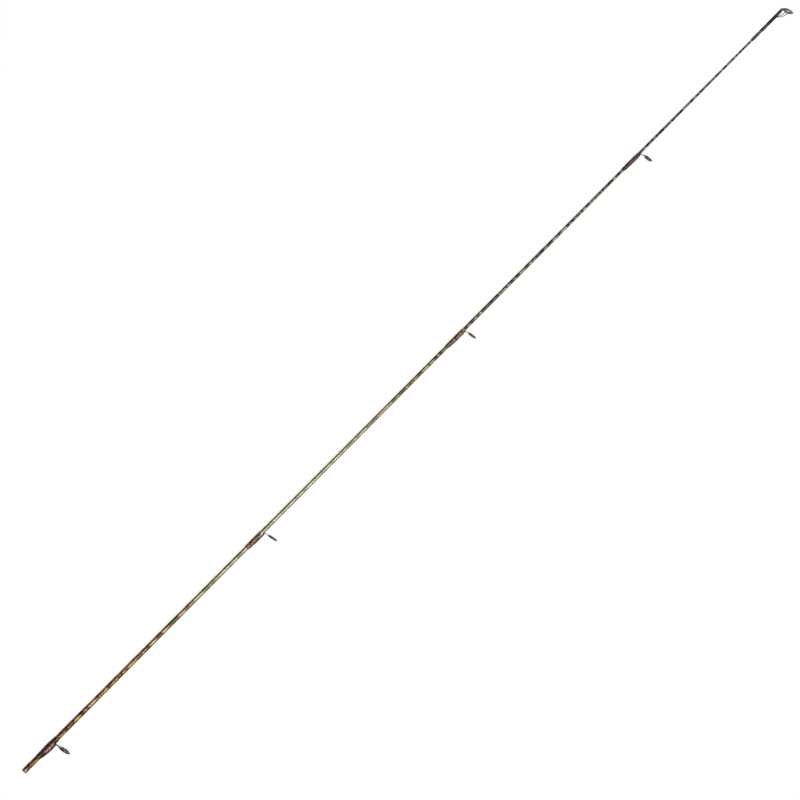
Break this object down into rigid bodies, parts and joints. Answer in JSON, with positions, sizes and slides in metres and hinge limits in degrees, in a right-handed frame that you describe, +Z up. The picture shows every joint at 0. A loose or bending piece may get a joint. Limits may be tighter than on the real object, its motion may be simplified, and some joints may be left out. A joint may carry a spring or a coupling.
{
  "type": "fishing rod tip section",
  "caption": "Slender tapered tip section of a two-piece spinning rod with thread-bound single-foot line guides and a tip-top.",
  "frame": {"origin": "centre of the bounding box's bottom, on the surface that the section lies on", "axes": "+X along the blank from the ferrule end to the tip, +Z up; the guides point towards -Y and a little up"},
  "size_m": [1.0152, 0.0224, 0.0128],
  "materials": {
    "blank": "gloss",
    "guide_frame": "satin",
    "ring_insert": "polished",
    "guide_thread": "satin",
    "trim_thread": "satin",
    "epoxy": "gloss",
    "tip_tube": "gloss",
    "glue": "satin"
  },
  "bodies": {
    "root": {"blank_ferrule": "blank", "blank_shaft": "blank", "first_guide_frame": "guide_frame", "first_guide_ring": "ring_insert", "first_guide_thread_wrap": "guide_thread", "first_guide_epoxy_coat": "epoxy", "second_guide_frame": "guide_frame", "second_guide_ring": "ring_insert", "second_guide_thread_wrap": "guide_thread", "second_guide_epoxy_coat": "epoxy", "third_guide_frame": "guide_frame", "third_guide_ring": "ring_insert", "third_guide_thread_wrap": "guide_thread", "third_guide_epoxy_coat": "epoxy", "fourth_guide_frame": "guide_frame", "fourth_guide_ring": "ring_insert", "fourth_guide_thread_wrap": "guide_thread", "fourth_guide_epoxy_coat": "epoxy", "tip_top_tube": "tip_tube", "tip_top_frame": "guide_frame", "tip_top_ring": "ring_insert", "tip_top_glue": "glue", "rear_trim_thread_wrap": "trim_thread", "front_trim_thread_wrap": "trim_thread", "trim_epoxy_coat": "epoxy"}
  },
  "joints": []
}
